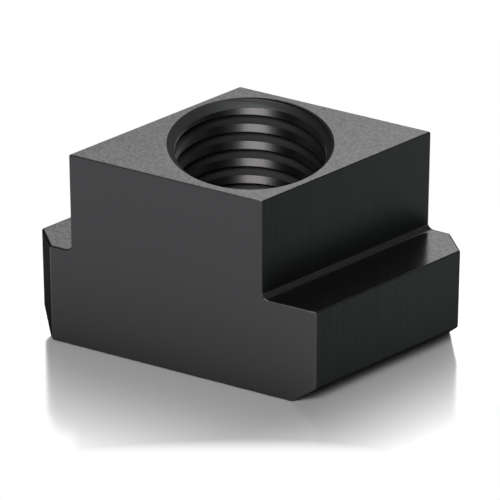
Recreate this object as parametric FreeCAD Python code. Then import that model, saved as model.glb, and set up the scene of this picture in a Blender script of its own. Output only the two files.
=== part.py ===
# Diamond T-slot nut for a 22 mm slot, tapped M20.
# The block is a T section cut off at a slant on both ends, so that from above its neck is a diamond.
# Turned one way the block drops through the mouth of the slot, and turned back its flange catches
# under the lips.
# X runs across the slot, Y along it and Z up out of it. The origin is on the axis of the tapped hole
# at the foot of the block, and every length is in millimetres.
import FreeCAD, Part
import math
import os

# The slot and the play that the nut has in it
slot_mouth = 22.0
neck_play = 0.3
drop_in_play = 0.05

# The block
block_height = 28.0
flange_width = 34.0
flange_height = 14.0
slant_angle = 30.0
root_radius = 0.75
edge_break = 0.25

# The foot's chamfer, and the place on the end face where the flange's sharp corner is cut off from,
# both as shares of the flange's overhang beside the neck
foot_chamfer_share = 0.447
corner_land_share = 0.385
corner_cut_angle = 19.5

# The tapped hole, with the thread's depth measured on the radius and its start on the X axis,
# measured up from the foot
thread_diameter = 20.0
thread_pitch = 2.5
thread_depth = 0.9
thread_angle = 60.0
thread_start = -0.55
countersink_margin = 0.03
countersink_angle = 90.0

neck_width = slot_mouth - neck_play
end_to_end = slot_mouth - drop_in_play
overhang = (flange_width - neck_width) / 2
foot_chamfer = overhang * foot_chamfer_share
slant = math.radians(slant_angle)
tapping_radius = thread_diameter / 2 - thread_depth
root_flat = thread_pitch / 8
up = FreeCAD.Vector(0, 0, 1)
SHARP_TURN = math.radians(5)
OVERRUN = 1.0


def end_line(x, end):
    """Y at x of a slanted end face, with end -1 for the front one and +1 for the back one."""
    return x * math.tan(slant) + end * end_to_end / (2 * math.cos(slant))


def prism(outline, height):
    """A solid straight up from a closed outline on the ground plane."""
    points = [FreeCAD.Vector(x, y, 0) for x, y in outline]
    wire = Part.makePolygon(points + points[:1])
    return Part.Face(wire).extrude(up * height)


def neck():
    half = neck_width / 2
    front = [(-half, end_line(-half, -1)), (half, end_line(half, -1))]
    back = [(-x, -y) for x, y in front]
    return prism(front + back, block_height)


def flange():
    half = flange_width / 2
    land_end = neck_width / 2 + overhang * corner_land_share
    cut_start = end_line(-land_end, -1)
    cut_back = (half - land_end) * math.tan(math.radians(corner_cut_angle))
    front = [
        (-half, cut_start + cut_back),
        (-land_end, cut_start),
        (half, end_line(half, -1)),
    ]
    back = [(-x, -y) for x, y in front]
    return prism(front + back, flange_height)


def edges_along(shape, x, z):
    """The straight edges that run the length of the block at this distance from its middle and height."""
    found = []
    for edge in shape.Edges:
        ends = [vertex.Point for vertex in edge.Vertexes]
        if all(abs(abs(p.x) - x) < 1e-6 and abs(p.z - z) < 1e-6 for p in ends):
            found.append(edge)
    return found


def normal_at(face, point):
    u, v = face.Surface.parameter(point)
    return face.normalAt(u, v)


def sharp_edges(shape):
    """The edges where two faces meet at an angle, which leaves out those that run smoothly on."""
    found = []
    for edge in shape.Edges:
        middle = edge.valueAt((edge.FirstParameter + edge.LastParameter) / 2)
        normals = [normal_at(face, middle) for face in shape.ancestorsOfType(edge, Part.Face)]
        if normals[0].getAngle(normals[1]) > SHARP_TURN:
            found.append(edge)
    return found


def block():
    solid = neck().fuse(flange()).removeSplitter()
    solid = solid.makeChamfer(foot_chamfer, edges_along(solid, flange_width / 2, 0))
    solid = solid.makeFillet(root_radius, edges_along(solid, neck_width / 2, flange_height))
    return solid.makeChamfer(edge_break, sharp_edges(solid))


def countersink(z, outward):
    """The cone that opens the hole at height z, with outward +1 at the top and -1 at the foot."""
    spread = math.tan(math.radians(countersink_angle / 2))
    depth = (thread_diameter / 2 + countersink_margin) / spread
    tip = FreeCAD.Vector(0, 0, z - outward * depth)
    return Part.makeCone(0, (depth + OVERRUN) * spread, depth + OVERRUN, tip, up * outward)


def hole():
    bore = Part.makeCylinder(tapping_radius, block_height + 2 * OVERRUN, up * -OVERRUN)
    return bore.fuse([countersink(block_height, 1), countersink(0, -1)])


def groove_corners():
    """The thread groove's section as (radius, height), closed off inside the empty hole."""
    widening = math.tan(math.radians(thread_angle / 2))
    mouth_radius = tapping_radius - thread_depth / 2
    half_mouth = root_flat / 2 + (thread_diameter / 2 - mouth_radius) * widening
    return [
        (mouth_radius, -half_mouth),
        (thread_diameter / 2, -root_flat / 2),
        (thread_diameter / 2, root_flat / 2),
        (mouth_radius, half_mouth),
    ]


def groove_turn(z):
    """One right-hand turn of the thread groove, which starts at height z on the X axis."""
    rails = []
    for radius, rise in groove_corners():
        rail = Part.makeHelix(thread_pitch, thread_pitch, radius)
        rail.translate(up * (z + rise))
        rails.append(rail.Edges[0])
    walls = [Part.makeRuledSurface(rail, rails[i - 1]) for i, rail in enumerate(rails)]
    corners = [FreeCAD.Vector(radius, 0, z + rise) for radius, rise in groove_corners()]
    start = Part.Face(Part.makePolygon(corners + corners[:1]))
    end = start.translated(up * thread_pitch)
    turn = Part.Solid(Part.Shell(walls + [start, end]))
    if turn.Volume < 0:
        turn.reverse()
    return turn


def thread():
    """All the turns, from one pitch below the start to past the top."""
    count = math.ceil(block_height / thread_pitch) + 2
    return [groove_turn(thread_start + thread_pitch * (i - 1)) for i in range(count)]


nut = block().cut(hole()).cut(thread())

os.makedirs("parts", exist_ok=True)
nut.exportStep("parts/t_slot_nut.step")

print("solids", len(nut.Solids), "valid", nut.isValid(), "volume", round(nut.Volume, 1))
print("box", nut.BoundBox)
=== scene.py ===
import bmesh
import bpy
import math
from mathutils import Matrix, Vector


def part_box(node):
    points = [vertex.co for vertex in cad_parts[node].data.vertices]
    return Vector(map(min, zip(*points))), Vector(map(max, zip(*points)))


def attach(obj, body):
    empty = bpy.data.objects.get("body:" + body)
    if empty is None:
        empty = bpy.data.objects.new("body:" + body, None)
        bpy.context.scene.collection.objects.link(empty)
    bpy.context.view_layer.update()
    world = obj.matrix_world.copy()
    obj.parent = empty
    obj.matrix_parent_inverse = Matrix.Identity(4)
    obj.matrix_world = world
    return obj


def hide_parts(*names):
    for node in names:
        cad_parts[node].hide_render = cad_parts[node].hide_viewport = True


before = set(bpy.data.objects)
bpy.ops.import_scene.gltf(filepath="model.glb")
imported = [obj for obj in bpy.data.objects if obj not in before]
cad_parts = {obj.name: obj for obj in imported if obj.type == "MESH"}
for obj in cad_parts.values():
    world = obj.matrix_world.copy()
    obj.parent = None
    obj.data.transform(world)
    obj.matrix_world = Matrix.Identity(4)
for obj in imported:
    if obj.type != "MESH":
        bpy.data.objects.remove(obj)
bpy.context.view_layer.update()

# A T-slot nut of blackened steel, diamond in plan, stands on a polished pale table in soft studio light.
# Everything is in metres in the nut's own frame: X across the slot, Y along it, Z up the tapped hole.
MM = 0.001

# The outside of the block, read from the frame
foot_corner, top_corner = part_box("t_slot_nut")
HEIGHT = top_corner.z
HALF_FLANGE = top_corner.x
HALF_LENGTH = top_corner.y

# The block's other sizes
HALF_NECK = 10.85 * MM
SHOULDER = 14.0 * MM
END_TO_END = 21.95 * MM
SLANT = math.radians(30)
END_NORMAL = Vector((-math.sin(SLANT), math.cos(SLANT), 0))
ROOT_RADIUS = 0.75 * MM
ROOT_FACETS = 6
EDGE_BREAK = 0.25 * MM
EDGE_FACETS = 3

# The foot's chamfer and the land beside the neck, as shares of the flange's overhang
OVERHANG = HALF_FLANGE - HALF_NECK
FOOT_CHAMFER = 0.447 * OVERHANG
LAND_END = HALF_NECK + 0.385 * OVERHANG
CORNER_CUT_ANGLE = math.radians(19.5)

# The tapped hole
THREAD_RADIUS = 10.0 * MM
CREST_RADIUS = 9.1 * MM
PITCH = 2.5 * MM
GROOVE_FLAT = PITCH / 8
THREAD_START = -0.55 * MM
FLANK_SLOPE = math.radians(30)
COUNTERSINK_RIM = 10.03 * MM
COUNTERSINK_SLOPE = math.radians(45)
FACETS_PER_TURN = 144
GROOVE_FACETS = 6
OVERRUN = 1.0 * MM
OVERRUN_TURNS = 3

# Edges that turn by more than this are sharp to the eye
SHARP_TURN = math.radians(24)

# The camera, a long lens that looks down on the nut's front corner
VIEW_AZIMUTH = math.radians(53.611)
VIEW_ELEVATION = math.radians(34.630)
VIEW_DISTANCE = 582.15 * MM
VIEW_TARGET = Vector((0, 0, 13.02 * MM))
VIEW_OFFSET = (-0.050 * MM, -0.463 * MM)
SENSOR = 36.0
LENS = 346.18

BACK = Vector((
    math.sin(VIEW_AZIMUTH) * math.cos(VIEW_ELEVATION),
    -math.cos(VIEW_AZIMUTH) * math.cos(VIEW_ELEVATION),
    math.sin(VIEW_ELEVATION),
))
RIGHT = Vector((math.cos(VIEW_AZIMUTH), math.sin(VIEW_AZIMUTH), 0))
UP = BACK.cross(RIGHT)

# The table top fades to white by these distances from the foot, off its ends and off its sides. In front,
# on the side that the camera stands on, it fades between these two distances from the hole's axis.
FRONT = RIGHT.cross(Vector((0, 0, 1)))
FADE_OFF_END = 20 * MM
FADE_OFF_SIDE = 15.2 * MM
FADE_IN_FRONT = (20.0 * MM, 24.5 * MM)
TABLE_SIZE = 2.0
LAMP_DISTANCE = 0.8


# Colours and shader nodes

def linear(hex_colour):
    """A hex sRGB colour as linear red, green, blue and alpha."""
    channels = [int(hex_colour[i:i + 2], 16) / 255 for i in (1, 3, 5)]
    return [c / 12.92 if c <= 0.04045 else ((c + 0.055) / 1.055) ** 2.4 for c in channels] + [1]


def node(tree, kind, inputs=(), **settings):
    """A new node with its settings, each input set to a value or linked from another node's output."""
    made = tree.nodes.new(kind)
    for name, value in settings.items():
        setattr(made, name, value)
    for name, value in dict(inputs).items():
        if isinstance(value, bpy.types.NodeSocket):
            tree.links.new(value, made.inputs[name])
        else:
            made.inputs[name].default_value = value
    return made


def new_material(name):
    """A material with no nodes yet."""
    material = bpy.data.materials.new(name)
    material.use_nodes = True
    material.node_tree.nodes.clear()
    return material, material.node_tree


def finished(material, shader):
    """The material with this shader as its surface."""
    node(material.node_tree, "ShaderNodeOutputMaterial", {"Surface": shader.outputs[0]})
    return material


def place_on_nut(tree):
    """The point that is shaded, in metres in the nut's frame."""
    return node(tree, "ShaderNodeTexCoord").outputs["Object"]


# The finishes

def grain(tree, place, size, detail):
    """Noise that is even in all directions, with the size of one grain in metres."""
    return node(tree, "ShaderNodeTexNoise", {
        "Vector": place, "Scale": 1 / size, "Detail": detail,
    }).outputs["Fac"]


def tones(tree, factor, dark, light):
    """A colour between two tones."""
    mix = node(tree, "ShaderNodeMix", {0: factor, 6: linear(dark), 7: linear(light)}, data_type="RGBA")
    return mix.outputs[2]


def ground_black_oxide():
    """Black oxide on surface-ground steel: an even charcoal with a fine sparkle of grain.
    Grinding leaves a grain of about 0.05 mm, drawn here at 0.3 mm so that it shows. The tone is also
    lighter towards one side of the nut: a painted sheen."""
    material, tree = new_material("ground_black_oxide")
    place = place_on_nut(tree)
    across = node(tree, "ShaderNodeSeparateXYZ", {0: place}).outputs["X"]
    # Painted sheen: the colour grows lighter across X, standing in for light on the top.
    painted_light_ramp = node(tree, "ShaderNodeMapRange", {
        "Value": across, "From Min": -HALF_FLANGE, "From Max": HALF_FLANGE, "To Min": -0.14, "To Max": 0.14,
    })
    tone = node(tree, "ShaderNodeMath", {
        0: grain(tree, place, 0.3 * MM, 3), 1: painted_light_ramp.outputs[0],
    }, operation="ADD")
    shader = node(tree, "ShaderNodeBsdfPrincipled", {
        "Base Color": tones(tree, tone.outputs[0], "#2C2D2E", "#696969"), "Metallic": 0.97, "Roughness": 0.2,
    })
    return finished(material, shader)


def face_milled_black_oxide():
    """Black oxide on the slanted ends, which a face mill leaves fine: dark grey with a satin gloss."""
    material, tree = new_material("face_milled_black_oxide")
    shader = node(tree, "ShaderNodeBsdfPrincipled", {
        "Base Color": linear("#474749"), "Metallic": 0.9, "Roughness": 0.5,
    })
    return finished(material, shader)


def side_oxide_with_painted_shade():
    """Black oxide on the long sides, which the flank of the cutter mills, with faint upright feed marks. The
    marks are about 0.1 mm apart, drawn here at 0.4 mm so that they show, and each runs about 9 mm. They are
    the blackest faces by painted shade, and grow lighter towards one end of the nut by a painted reflection."""
    material, tree = new_material("side_oxide_with_painted_shade")
    place = place_on_nut(tree)
    mark_width = 0.4 * MM
    mark_height = 9 * MM
    stretched = node(tree, "ShaderNodeMapping", {
        "Vector": place, "Scale": (1 / mark_width, 1 / mark_width, 1 / mark_height),
    })
    marks = node(tree, "ShaderNodeMapRange", {
        "Value": grain(tree, stretched.outputs[0], 1.0, 2), "To Min": 0.2, "To Max": 0.8,
    })
    # Painted reflection: the colour grows lighter along Y, towards the end that mirrors brighter table.
    along = node(tree, "ShaderNodeSeparateXYZ", {0: place}).outputs["Y"]
    painted_light_ramp = node(tree, "ShaderNodeMapRange", {
        "Value": along, "From Min": -5 * MM, "From Max": HALF_LENGTH, "To Min": -0.15, "To Max": 0.6,
    })
    tone = node(tree, "ShaderNodeMath", {0: marks.outputs[0], 1: painted_light_ramp.outputs[0]}, operation="ADD")
    # The sides' dark tones are painted shade for the darker table they mirror; the feed marks in them are
    # real.
    shader = node(tree, "ShaderNodeBsdfPrincipled", {
        "Base Color": tones(tree, tone.outputs[0], "#262827", "#333635"), "Metallic": 0.92, "Roughness": 0.38,
        "Specular Tint": linear("#3C3C3C"),
    })
    return finished(material, shader)


def smooth_black_oxide():
    """Black oxide in the root fillets, which the round corner of the cutter leaves smooth and glossy."""
    material, tree = new_material("smooth_black_oxide")
    shader = node(tree, "ShaderNodeBsdfPrincipled", {
        "Base Color": linear("#454547"), "Metallic": 0.9, "Roughness": 0.25,
    })
    return finished(material, shader)


def turned_black_oxide():
    """Black oxide on the countersinks, which are turned in one cut: matt, so the light spreads round them."""
    material, tree = new_material("turned_black_oxide")
    shader = node(tree, "ShaderNodeBsdfPrincipled", {
        "Base Color": linear("#363738"), "Metallic": 0.9, "Roughness": 0.6,
    })
    return finished(material, shader)


def tapped_black_oxide():
    """Black oxide in the thread's grooves: dark and dull, because the tap tears the steel a little."""
    material, tree = new_material("tapped_black_oxide")
    shader = node(tree, "ShaderNodeBsdfPrincipled", {
        "Base Color": linear("#2B2B2B"), "Metallic": 0.9, "Roughness": 0.52,
    })
    return finished(material, shader)


def drilled_crest():
    """The thread's crests, which are what the tap leaves of the drilled wall: fine rings round the hole
    spread the light up and down, so they shine in one bright streak."""
    material, tree = new_material("drilled_crest")
    around = node(tree, "ShaderNodeTangent", direction_type="RADIAL", axis="Z")
    shader = node(tree, "ShaderNodeBsdfPrincipled", {
        "Base Color": linear("#727070"), "Metallic": 1.0, "Roughness": 0.45,
        "Anisotropic": 1.0, "Anisotropic Rotation": 0.25, "Tangent": around.outputs[0],
    })
    return finished(material, shader)


FINISHES = [
    ground_black_oxide(), face_milled_black_oxide(), side_oxide_with_painted_shade(), smooth_black_oxide(),
    turned_black_oxide(), tapped_black_oxide(), drilled_crest(),
]
GROUND, END, SIDE, ROOT, TURNED, TAPPED, CREST = range(len(FINISHES))


# The nut's shape

def new_piece(name, bm):
    mesh = bpy.data.meshes.new(name)
    bm.to_mesh(mesh)
    bm.free()
    for finish in FINISHES:
        mesh.materials.append(finish)
    piece = bpy.data.objects.new(name, mesh)
    bpy.context.scene.collection.objects.link(piece)
    return piece


def end_line(x, end):
    """Y at x of a slanted end face, with end -1 for the front one and +1 for the back one."""
    return x * math.tan(SLANT) + end * END_TO_END / (2 * math.cos(SLANT))


def right_half():
    """The T section's right half as (x, z), from the top down to the foot."""
    points = [(HALF_NECK, HEIGHT)]
    for i in range(ROOT_FACETS + 1):
        turn = math.pi + math.pi / 2 * i / ROOT_FACETS
        points.append((
            HALF_NECK + ROOT_RADIUS * (1 + math.cos(turn)),
            SHOULDER + ROOT_RADIUS * (1 + math.sin(turn)),
        ))
    points.append((HALF_FLANGE, SHOULDER))
    points.append((HALF_FLANGE, FOOT_CHAMFER))
    points.append((HALF_FLANGE - FOOT_CHAMFER, 0))
    return points


def t_bar():
    """The T section between its two slanted end faces."""
    right = right_half()
    outline = right + [(-x, z) for x, z in reversed(right)]
    bm = bmesh.new()
    front, back = ([bm.verts.new((x, end_line(x, end), z)) for x, z in outline] for end in (-1, 1))
    bm.faces.new(front)
    bm.faces.new(reversed(back))
    for i in range(len(outline)):
        bm.faces.new([front[i - 1], back[i - 1], back[i], front[i]])
    bmesh.ops.recalc_face_normals(bm, faces=bm.faces)
    return bm


def cut_sharp_corners(bm):
    """Cuts the flange's two sharp corners off, from the land beside the neck to the side."""
    for end in (-1, 1):
        land = Vector((end * LAND_END, end_line(end * LAND_END, end), 0))
        outward = Vector((end * math.sin(CORNER_CUT_ANGLE), end * math.cos(CORNER_CUT_ANGLE), 0))
        cut = bmesh.ops.bisect_plane(
            bm, geom=bm.verts[:] + bm.edges[:] + bm.faces[:],
            plane_co=land, plane_no=outward, clear_outer=True,
        )
        rim = [part for part in cut["geom_cut"] if isinstance(part, bmesh.types.BMEdge)]
        bmesh.ops.edgeloop_fill(bm, edges=rim)
    bmesh.ops.recalc_face_normals(bm, faces=bm.faces)


def break_edges(bm):
    """Rounds every sharp edge a little, as it is after deburring."""
    sharp = [edge for edge in bm.edges if edge.calc_face_angle() > SHARP_TURN]
    bmesh.ops.bevel(
        bm, geom=sharp, offset=EDGE_BREAK, offset_type="OFFSET", segments=EDGE_FACETS,
        profile=0.5, affect="EDGES", clamp_overlap=False, material=-1,
    )


def finish_of(normal, middle):
    """The finish of a face with this normal and middle. The broken edges and the cut corners are as dark as
    the sides, a painted shade that keeps their highlights down, apart from the edge of the ground top, which
    shines with it."""
    level = abs(normal.z) > 0.99
    top_edge = normal.z > 0.9 and middle.z > HEIGHT - EDGE_BREAK
    beside_root = abs(middle.x) < HALF_NECK + ROOT_RADIUS and SHOULDER < middle.z < SHOULDER + ROOT_RADIUS
    upright = abs(normal.z) < 0.5
    if level or top_edge:
        return GROUND
    if beside_root and normal.z > 0.1:
        return ROOT
    if upright and abs(normal.dot(END_NORMAL)) > 0.7:
        return END
    # The side finish's dark tone is painted shade, here on the sides, the cut corners and the broken edges.
    return SIDE


def block():
    bm = t_bar()
    cut_sharp_corners(bm)
    break_edges(bm)
    for face in bm.faces:
        face.material_index = finish_of(face.normal, face.calc_center_median())
    return new_piece("t_slot_nut_body", bm)


def ring(bm, radius, z):
    turns = [2 * math.pi * i / FACETS_PER_TURN for i in range(FACETS_PER_TURN)]
    return [bm.verts.new((radius * math.cos(turn), radius * math.sin(turn), z)) for turn in turns]


def countersink_cutter(name, z, outward):
    """A cone whose rim lies in the face at height z, with outward +1 at the top and -1 at the foot."""
    bm = bmesh.new()
    tip = bm.verts.new((0, 0, z - outward * COUNTERSINK_RIM / math.tan(COUNTERSINK_SLOPE)))
    wide = ring(bm, COUNTERSINK_RIM + OVERRUN * math.tan(COUNTERSINK_SLOPE), z + outward * OVERRUN)
    for i in range(FACETS_PER_TURN):
        bm.faces.new([wide[i - 1], wide[i], tip])
    bm.faces.new(wide)
    bmesh.ops.recalc_face_normals(bm, faces=bm.faces)
    for face in bm.faces:
        face.material_index = TURNED
        face.smooth = True
    return new_piece(name, bm)


def screw_profile():
    """One turn of the screw's section as (radius, z, finish of the face above it), from the lower side of
    the ridge that cuts the groove. The tap's ridge is fully rounded, so that it touches the thread's
    outside where a sharper one would have its flat."""
    rounding = GROOVE_FLAT / 2 / math.tan(FLANK_SLOPE) / (1 / math.sin(FLANK_SLOPE) - 1)
    profile = []
    for i in range(GROOVE_FACETS + 1):
        turn = (math.pi / 2 - FLANK_SLOPE) * (2 * i / GROOVE_FACETS - 1)
        profile.append((THREAD_RADIUS + rounding * (math.cos(turn) - 1), rounding * math.sin(turn), TAPPED))
    half_ridge = GROOVE_FLAT / 2 + (THREAD_RADIUS - CREST_RADIUS) * math.tan(FLANK_SLOPE)
    profile.append((CREST_RADIUS, half_ridge, CREST))
    profile.append((CREST_RADIUS, PITCH - half_ridge, TAPPED))
    return profile


def screw_cutter(name):
    """The body of a screw, which leaves the tapped hole when it is taken away from the block.
    Its thread is right-hand, with the middle of a ridge at THREAD_START on the X axis."""
    profile = screw_profile()
    per_turn = len(profile)
    turns = range(-OVERRUN_TURNS, math.ceil(HEIGHT / PITCH) + OVERRUN_TURNS - 1)
    bm = bmesh.new()
    columns = []
    for i in range(FACETS_PER_TURN):
        angle = 2 * math.pi * i / FACETS_PER_TURN
        lift = THREAD_START + PITCH * i / FACETS_PER_TURN
        columns.append([
            bm.verts.new((radius * math.cos(angle), radius * math.sin(angle), lift + PITCH * turn + z))
            for turn in turns for radius, z, _ in profile
        ])

    # Once round the axis, the last column meets the first one pitch higher
    columns.append(columns[0][per_turn:])
    for here, there in zip(columns, columns[1:]):
        for j in range(len(there) - 1):
            face = bm.faces.new([here[j], there[j], there[j + 1], here[j + 1]])
            face.material_index = profile[j % per_turn][2]

    # The lower and upper ends are closed far outside the block
    bmesh.ops.holes_fill(bm, edges=[edge for edge in bm.edges if edge.is_boundary], sides=0)
    bmesh.ops.recalc_face_normals(bm, faces=bm.faces)
    for face in bm.faces:
        face.smooth = True
    return new_piece(name, bm)


def cut_away(piece, cutter):
    """Takes the cutter's shape out of the piece for good."""
    bpy.context.view_layer.objects.active = piece
    cut = piece.modifiers.new("cut", "BOOLEAN")
    cut.operation = "DIFFERENCE"
    cut.solver = "EXACT"
    cut.material_mode = "INDEX"
    cut.object = cutter
    bpy.ops.object.modifier_apply(modifier=cut.name)
    bpy.data.objects.remove(cutter)


def shade(piece):
    """Smooth shading between sharp edges, with the flat faces kept flat up to their rounded edges."""
    piece.data.shade_smooth()
    piece.data.set_sharp_from_angle(angle=SHARP_TURN)
    weighted = piece.modifiers.new("even_flats", "WEIGHTED_NORMAL")
    weighted.keep_sharp = True
    weighted.mode = "FACE_AREA"


nut = block()
cut_away(nut, screw_cutter("screw"))
cut_away(nut, countersink_cutter("top_countersink", HEIGHT, 1))
cut_away(nut, countersink_cutter("foot_countersink", 0, -1))
shade(nut)

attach(nut, "root")
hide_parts("t_slot_nut")


# The table, the light and the camera

def table_finish():
    """A polished pale table top, which mirrors the nut softly and fades to the white of the backdrop around
    it. The polish and the white are for the eye and for reflections only, and light nothing."""
    material, tree = new_material("polished_pale_table")
    place = place_on_nut(tree)
    path = node(tree, "ShaderNodeLightPath")

    # How far off the foot a point lies, as a share of the fade's reach, squared
    squares = []
    for direction, edge, reach in (
        (END_NORMAL, END_TO_END / 2, FADE_OFF_END),
        (Vector((1, 0, 0)), HALF_FLANGE - FOOT_CHAMFER, FADE_OFF_SIDE),
    ):
        along = node(tree, "ShaderNodeVectorMath", {0: place, 1: direction}, operation="DOT_PRODUCT")
        out = node(tree, "ShaderNodeMath", {0: along.outputs["Value"]}, operation="ABSOLUTE")
        share = node(tree, "ShaderNodeMapRange", {
            "Value": out.outputs[0], "From Min": edge, "From Max": edge + reach,
        })
        squares.append(node(tree, "ShaderNodeMath", {0: share.outputs[0], 1: 2.0}, operation="POWER"))
    square = node(tree, "ShaderNodeMath", {
        0: squares[0].outputs[0], 1: squares[1].outputs[0],
    }, operation="ADD")

    # The eye sees the fade start slowly, and the nut's faces mirror one that is even from the foot outwards
    power = node(tree, "ShaderNodeMapRange", {
        "Value": path.outputs["Is Camera Ray"], "To Min": 0.5, "To Max": 1.0,
    })
    around = node(tree, "ShaderNodeMath", {0: square.outputs[0], 1: power.outputs[0]}, operation="POWER")
    ahead = node(tree, "ShaderNodeVectorMath", {0: place, 1: FRONT}, operation="DOT_PRODUCT")
    in_front = node(tree, "ShaderNodeMapRange", {
        "Value": ahead.outputs["Value"], "From Min": FADE_IN_FRONT[0], "From Max": FADE_IN_FRONT[1],
    }, interpolation_type="SMOOTHSTEP")
    fade = node(tree, "ShaderNodeMath", {
        0: around.outputs[0], 1: in_front.outputs[0],
    }, operation="MAXIMUM", use_clamp=True)

    seen = path.outputs["Is Camera Ray"]
    for ray in ("Is Glossy Ray", "Is Transmission Ray"):
        seen = node(tree, "ShaderNodeMath", {0: seen, 1: path.outputs[ray]}, operation="MAXIMUM").outputs[0]
    whiteness = node(tree, "ShaderNodeMath", {0: fade.outputs[0], 1: seen}, operation="MULTIPLY")

    paint = node(tree, "ShaderNodeBsdfDiffuse", {"Color": linear("#848484")})
    gloss = node(tree, "ShaderNodeMath", {0: path.outputs["Is Camera Ray"], 1: 0.45}, operation="MULTIPLY")
    polish = node(tree, "ShaderNodeBsdfGlossy", {"Color": gloss.outputs[0], "Roughness": 0.15})
    top = node(tree, "ShaderNodeAddShader", {0: paint.outputs[0], 1: polish.outputs[0]})
    backdrop = node(tree, "ShaderNodeEmission", {"Color": (1, 1, 1, 1), "Strength": 1.0})
    shader = node(tree, "ShaderNodeMixShader", {
        0: whiteness.outputs[0], 1: top.outputs[0], 2: backdrop.outputs[0],
    })
    return finished(material, shader)


def table():
    bm = bmesh.new()
    bmesh.ops.create_grid(bm, x_segments=1, y_segments=1, size=TABLE_SIZE)
    mesh = bpy.data.meshes.new("table")
    bm.to_mesh(mesh)
    bm.free()
    mesh.materials.append(table_finish())
    made = bpy.data.objects.new("table", mesh)
    bpy.context.scene.collection.objects.link(made)


def softbox(name, azimuth, elevation, width, height, radiance):
    """A flat lamp that faces the nut. Azimuth is counted in degrees from the camera's side to its right,
    and width and height are in metres."""
    turn = VIEW_AZIMUTH + math.radians(azimuth)
    rise = math.radians(elevation)
    toward = Vector((math.sin(turn) * math.cos(rise), -math.cos(turn) * math.cos(rise), math.sin(rise)))
    across = Vector((math.cos(turn), math.sin(turn), 0))
    lamp = bpy.data.lights.new(name, "AREA")
    lamp.shape = "RECTANGLE"
    lamp.size = width
    lamp.size_y = height
    lamp.energy = radiance * math.pi * width * height
    made = bpy.data.objects.new(name, lamp)
    axes = Matrix((across, toward.cross(across), toward)).transposed()
    made.matrix_world = Matrix.Translation(toward * LAMP_DISTANCE) @ axes.to_4x4()
    bpy.context.scene.collection.objects.link(made)


def room_light(strength):
    """Even white light from the room all round."""
    world = bpy.data.worlds.new("studio")
    world.use_nodes = True
    background = world.node_tree.nodes["Background"]
    background.inputs["Color"].default_value = (1, 1, 1, 1)
    background.inputs["Strength"].default_value = strength
    bpy.context.scene.world = world


def camera():
    data = bpy.data.cameras.new("camera")
    data.sensor_width = SENSOR
    data.lens = LENS
    made = bpy.data.objects.new("camera", data)
    aim = VIEW_TARGET + RIGHT * VIEW_OFFSET[0] + UP * VIEW_OFFSET[1]
    axes = Matrix((RIGHT, UP, BACK)).transposed()
    made.matrix_world = Matrix.Translation(aim + BACK * VIEW_DISTANCE) @ axes.to_4x4()
    bpy.context.scene.collection.objects.link(made)
    bpy.context.scene.camera = made


table()

# The ground faces mirror the back softbox, and the high one lifts the table round the nut. The front one
# makes the streak on the thread's crests and is the main light on the table. The weak ones light the nut
# for a look from its other sides.
softbox("back_softbox", 162, 38, 1.1, 0.6, 2.0)
softbox("high_softbox", 180, 72, 0.35, 0.35, 3.0)
softbox("right_softbox", 73, 33, 0.4, 0.4, 0.12)
softbox("left_softbox", -100, 26, 0.9, 0.4, 0.15)
softbox("front_softbox", -9, 52, 0.4, 0.24, 26.2)
softbox("low_front_softbox", 0, 24, 1.2, 0.5, 0.5)
room_light(0.05)
camera()
bpy.context.scene.view_settings.view_transform = "Standard"
